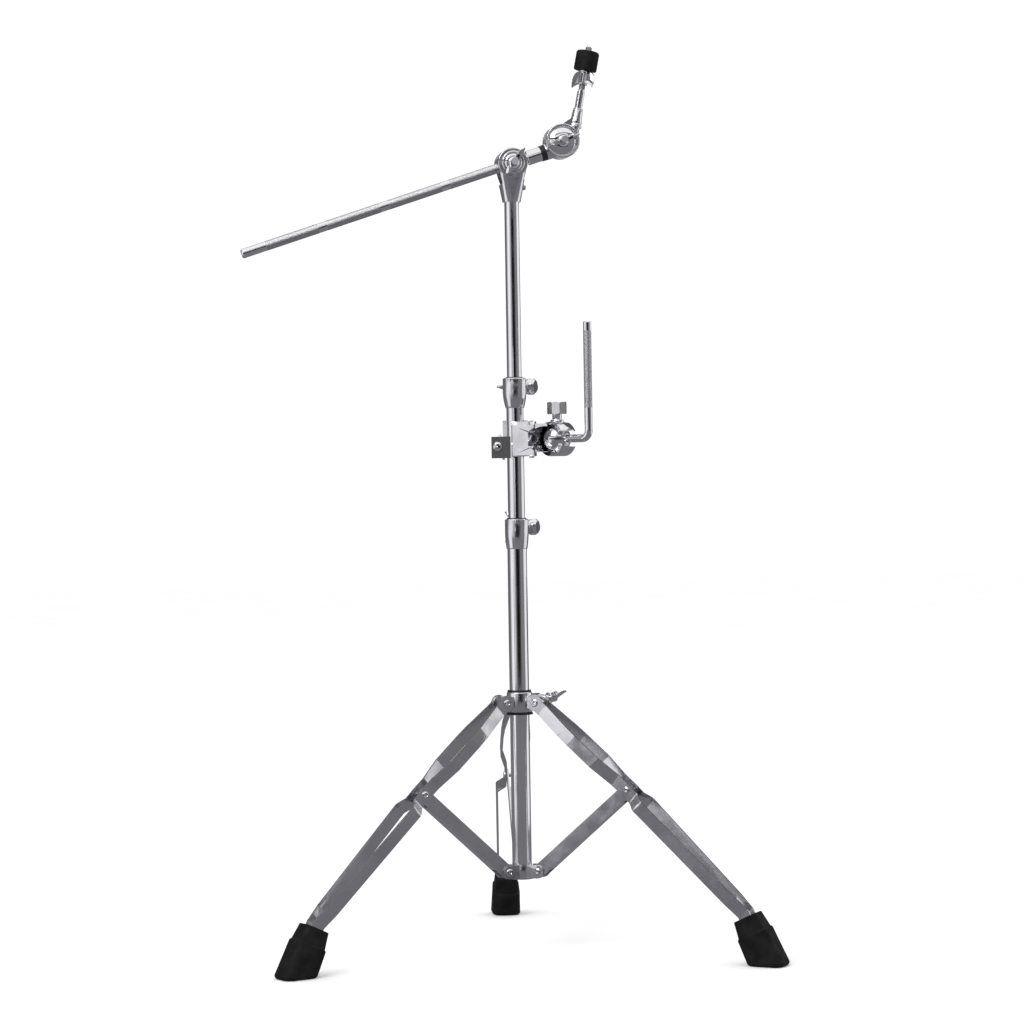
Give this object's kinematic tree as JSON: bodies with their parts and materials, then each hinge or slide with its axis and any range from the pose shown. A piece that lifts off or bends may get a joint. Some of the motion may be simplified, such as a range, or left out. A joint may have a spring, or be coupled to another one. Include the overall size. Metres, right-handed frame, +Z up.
{
  "type": "cymbal boom stand",
  "caption": "Chromed cymbal stand with a folding double-braced tripod, telescoping column, tilting boom, cymbal post and a side clamp holding a bent rod for a drum pad.",
  "frame": {"origin": "on the floor, under the column's axis", "axes": "+Z up along the column, +X the way the boom rises, the wing nuts face -Y"},
  "size_m": [0.6584, 0.5855, 1.1768],
  "materials": {
    "polished_chrome": "mirror-polished chrome plate on steel tube and bolts",
    "cast_chrome": "chrome plate on zinc castings, slightly uneven",
    "strip_chrome": "chrome plate on rolled steel strip",
    "grip_chrome": "chrome plate over fine knurling",
    "black_plastic": "black moulded nylon",
    "black_rubber": "matt black moulded rubber"
  },
  "bodies": {
    "column": {"base_tube": "polished_chrome", "lower_bracket": "strip_chrome", "bracket_rivets": "polished_chrome", "lower_collar": "cast_chrome", "lower_collar_nut": "polished_chrome"},
    "hub": {"tripod_hub": "cast_chrome", "hub_sleeve": "black_plastic"},
    "hub_bolt": {"hub_wing_bolt": "polished_chrome"},
    "strut_1": {"strut_1": "strip_chrome"},
    "leg_1": {"leg_1_strip_left": "strip_chrome", "leg_1_strip_right": "strip_chrome", "leg_1_rivets": "polished_chrome", "leg_1_foot": "black_rubber"},
    "strut_2": {"strut_2": "strip_chrome"},
    "leg_2": {"leg_2_strip_left": "strip_chrome", "leg_2_strip_right": "strip_chrome", "leg_2_rivets": "polished_chrome", "leg_2_foot": "black_rubber"},
    "strut_3": {"strut_3": "strip_chrome"},
    "leg_3": {"leg_3_strip_left": "strip_chrome", "leg_3_strip_right": "strip_chrome", "leg_3_rivets": "polished_chrome", "leg_3_foot": "black_rubber"},
    "lower_wing": {"lower_collar_wing_bolt": "polished_chrome"},
    "lower_bushing": {"lower_bushing": "black_plastic"},
    "middle": {"middle_tube": "polished_chrome", "upper_collar": "cast_chrome", "upper_collar_nut": "polished_chrome"},
    "upper_wing": {"upper_collar_wing_bolt": "polished_chrome"},
    "upper_bushing": {"upper_bushing": "black_plastic"},
    "upper": {"upper_tube": "polished_chrome", "boom_tilter_socket": "cast_chrome", "socket_set_screw": "polished_chrome", "boom_pivot_screw": "polished_chrome", "boom_tilter_washer": "black_plastic"},
    "boom_clamp": {"boom_tilter_clamp": "cast_chrome", "boom_tilter_cap": "polished_chrome", "boom_eye_bolt": "polished_chrome"},
    "boom_nut": {"boom_wing_nut": "polished_chrome"},
    "boom": {"boom_rod": "grip_chrome"},
    "boom_end": {"boom_tube": "polished_chrome", "boom_sleeve": "black_plastic", "post_tilter_body": "cast_chrome", "post_tilter_cap": "polished_chrome", "post_tilter_bolt": "polished_chrome"},
    "post_nut": {"post_tilter_wing_nut": "polished_chrome"},
    "post": {"post_arm": "cast_chrome", "cymbal_post": "polished_chrome"},
    "rod_wing": {"post_wing_nut": "polished_chrome"},
    "stopper": {"cymbal_stopper": "black_rubber"},
    "pad_clamp": {"pad_clamp_body": "cast_chrome", "pad_clamp_jaw": "cast_chrome", "pad_hinge_pin": "polished_chrome", "pad_ear_bolt": "polished_chrome"},
    "pad_nut": {"pad_ear_wing_nut": "polished_chrome"},
    "t_bolt": {"l_rod_t_bolt": "polished_chrome"},
    "ball": {"l_rod_ball": "black_plastic"},
    "l_rod": {"l_rod": "grip_chrome"}
  },
  "joints": [
    {"name": "hub_slide", "type": "slide", "parent": "column", "child": "hub", "axis": [0, 0, 1], "range_m": [0, 0.11417]},
    {"name": "hub_wing_turn", "type": "hinge", "parent": "hub", "child": "hub_bolt", "pos_m": [0, 0, 0.32661], "axis": [0.9063, 0.4226, 0], "continuous": true},
    {"name": "strut_1_fold", "type": "hinge", "parent": "column", "child": "strut_1", "pos_m": [0.00231, 0.0264, 0.1045], "axis": [0.9962, -0.0872, 0], "range_deg": [0, 42.05]},
    {"name": "knee_1_fold", "type": "hinge", "parent": "strut_1", "child": "leg_1", "pos_m": [0.01341, 0.15328, 0.21405], "axis": [-0.9962, 0.0872, 0], "range_deg": [0, 84.1]},
    {"name": "strut_2_fold", "type": "hinge", "parent": "column", "child": "strut_2", "pos_m": [-0.02402, -0.0112, 0.1045], "axis": [-0.4226, 0.9063, 0], "range_deg": [0, 42.05]},
    {"name": "knee_2_fold", "type": "hinge", "parent": "strut_2", "child": "leg_2", "pos_m": [-0.13945, -0.06503, 0.21405], "axis": [0.4226, -0.9063, 0], "range_deg": [0, 84.1]},
    {"name": "strut_3_fold", "type": "hinge", "parent": "column", "child": "strut_3", "pos_m": [0.02171, -0.0152, 0.1045], "axis": [-0.5736, -0.8192, 0], "range_deg": [0, 42.05]},
    {"name": "knee_3_fold", "type": "hinge", "parent": "strut_3", "child": "leg_3", "pos_m": [0.12604, -0.08825, 0.21405], "axis": [0.5736, 0.8192, 0], "range_deg": [0, 84.1]},
    {"name": "lower_collar_wing_turn", "type": "hinge", "parent": "column", "child": "lower_wing", "pos_m": [0.01245, 0.01993, 0.551], "axis": [0.848, -0.5299, 0], "continuous": true},
    {"name": "middle_tube_swivel", "type": "hinge", "parent": "column", "child": "lower_bushing", "pos_m": [0, 0, 0.562], "axis": [0, 0, 1], "continuous": true},
    {"name": "middle_tube_slide", "type": "slide", "parent": "lower_bushing", "child": "middle", "axis": [0, 0, 1], "range_m": [-0.06, 0.24]},
    {"name": "upper_collar_wing_turn", "type": "hinge", "parent": "middle", "child": "upper_wing", "pos_m": [0.01245, 0.01993, 0.734], "axis": [0.848, -0.5299, 0], "continuous": true},
    {"name": "upper_tube_swivel", "type": "hinge", "parent": "middle", "child": "upper_bushing", "pos_m": [0, 0, 0.745], "axis": [0, 0, 1], "continuous": true},
    {"name": "upper_tube_slide", "type": "slide", "parent": "upper_bushing", "child": "upper", "axis": [0, 0, 1], "range_m": [-0.2, 0.22]},
    {"name": "boom_tilt", "type": "hinge", "parent": "upper", "child": "boom_clamp", "pos_m": [0, 0, 1.023], "axis": [0, 1, 0], "range_deg": [-30, 48]},
    {"name": "boom_wing_turn", "type": "hinge", "parent": "boom_clamp", "child": "boom_nut", "pos_m": [0, 0, 1.023], "axis": [0, -1, 0], "continuous": true},
    {"name": "boom_slide", "type": "slide", "parent": "boom_clamp", "child": "boom", "axis": [0.9497, 0, 0.3132], "range_m": [0, 0.28]},
    {"name": "boom_roll", "type": "hinge", "parent": "boom", "child": "boom_end", "pos_m": [0, 0, 1.023], "axis": [0.9497, 0, 0.3132], "continuous": true},
    {"name": "post_wing_turn", "type": "hinge", "parent": "boom_end", "child": "post_nut", "pos_m": [0.06634, 0, 1.05172], "axis": [0, -1, 0], "continuous": true},
    {"name": "post_tilt", "type": "hinge", "parent": "boom_end", "child": "post", "pos_m": [0.06634, 0, 1.05172], "axis": [0, 1, 0], "range_deg": [-60, 60]},
    {"name": "rod_wing_turn", "type": "hinge", "parent": "post", "child": "rod_wing", "pos_m": [0.08205, 0.0067, 1.04867], "axis": [0.1908, 0, 0.9816], "continuous": true},
    {"name": "stopper_lift", "type": "slide", "parent": "post", "child": "stopper", "axis": [0.1908, 0, 0.9816], "range_m": [0, 0.02]},
    {"name": "pad_clamp_swivel", "type": "hinge", "parent": "middle", "child": "pad_clamp", "pos_m": [0, 0, 0.662], "axis": [0, 0, 1], "continuous": true},
    {"name": "pad_wing_turn", "type": "hinge", "parent": "pad_clamp", "child": "pad_nut", "pos_m": [-0.02008, 0.00614, 0.656], "axis": [0.2924, 0.9563, 0], "continuous": true},
    {"name": "t_bolt_turn", "type": "hinge", "parent": "pad_clamp", "child": "t_bolt", "pos_m": [0.05287, -0.01449, 0.665], "axis": [0, 0, 1], "continuous": true},
    {"name": "l_rod_tilt", "type": "hinge", "parent": "pad_clamp", "child": "ball", "pos_m": [0.05287, -0.01449, 0.665], "axis": [-0.809, -0.5878, 0], "range_deg": [-9, 9]},
    {"name": "l_rod_turn", "type": "hinge", "parent": "ball", "child": "l_rod", "pos_m": [0.05287, -0.01449, 0.665], "axis": [0.5878, -0.809, 0], "continuous": true}
  ],
  "couplings": [
    {"joint": "strut_1_fold", "follows": "hub_slide", "rad_per_m": 6.4206},
    {"joint": "knee_1_fold", "follows": "hub_slide", "rad_per_m": 12.841},
    {"joint": "strut_2_fold", "follows": "hub_slide", "rad_per_m": 6.4206},
    {"joint": "knee_2_fold", "follows": "hub_slide", "rad_per_m": 12.841},
    {"joint": "strut_3_fold", "follows": "hub_slide", "rad_per_m": 6.4206},
    {"joint": "knee_3_fold", "follows": "hub_slide", "rad_per_m": 12.841}
  ]
}
